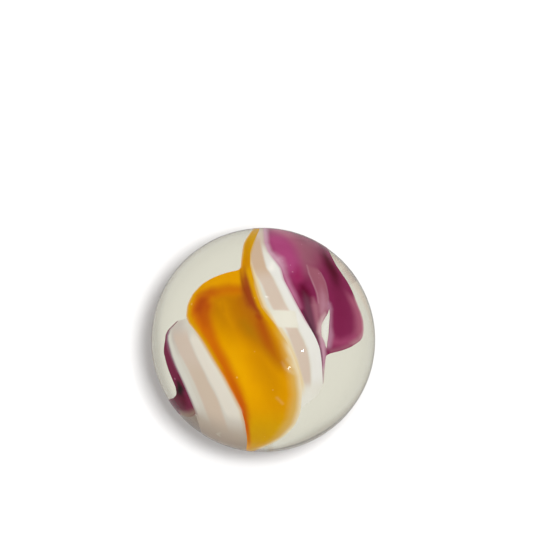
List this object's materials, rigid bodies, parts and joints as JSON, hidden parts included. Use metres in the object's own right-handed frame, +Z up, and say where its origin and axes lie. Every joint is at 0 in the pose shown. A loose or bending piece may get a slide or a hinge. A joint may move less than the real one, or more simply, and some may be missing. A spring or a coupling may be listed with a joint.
{
  "type": "glass marble",
  "caption": "Clear glass marble with a wide amber stream between white and purple streams of coloured glass, all flush with its smooth round face.",
  "frame": {"origin": "middle of the ball", "axes": "the marble as it lies and is looked down on: +Z up out of the face with the amber stream, +Y towards the end of the ball where the streams close up, +X to the right"},
  "size_m": [0.025, 0.025, 0.025],
  "materials": {
    "clear_glass": "clear, faintly cream-green, fire-polished",
    "amber_glass": "nearly opaque amber glass, polished",
    "white_glass": "milky white glass with a thin beige middle, polished",
    "purple_glass": "deep purple glass, polished"
  },
  "bodies": {
    "root": {"clear_glass": "clear_glass", "amber_stream": "amber_glass", "white_stream_right": "white_glass", "white_stream_left": "white_glass", "purple_stream_right": "purple_glass", "purple_stream_left": "purple_glass"}
  },
  "joints": []
}
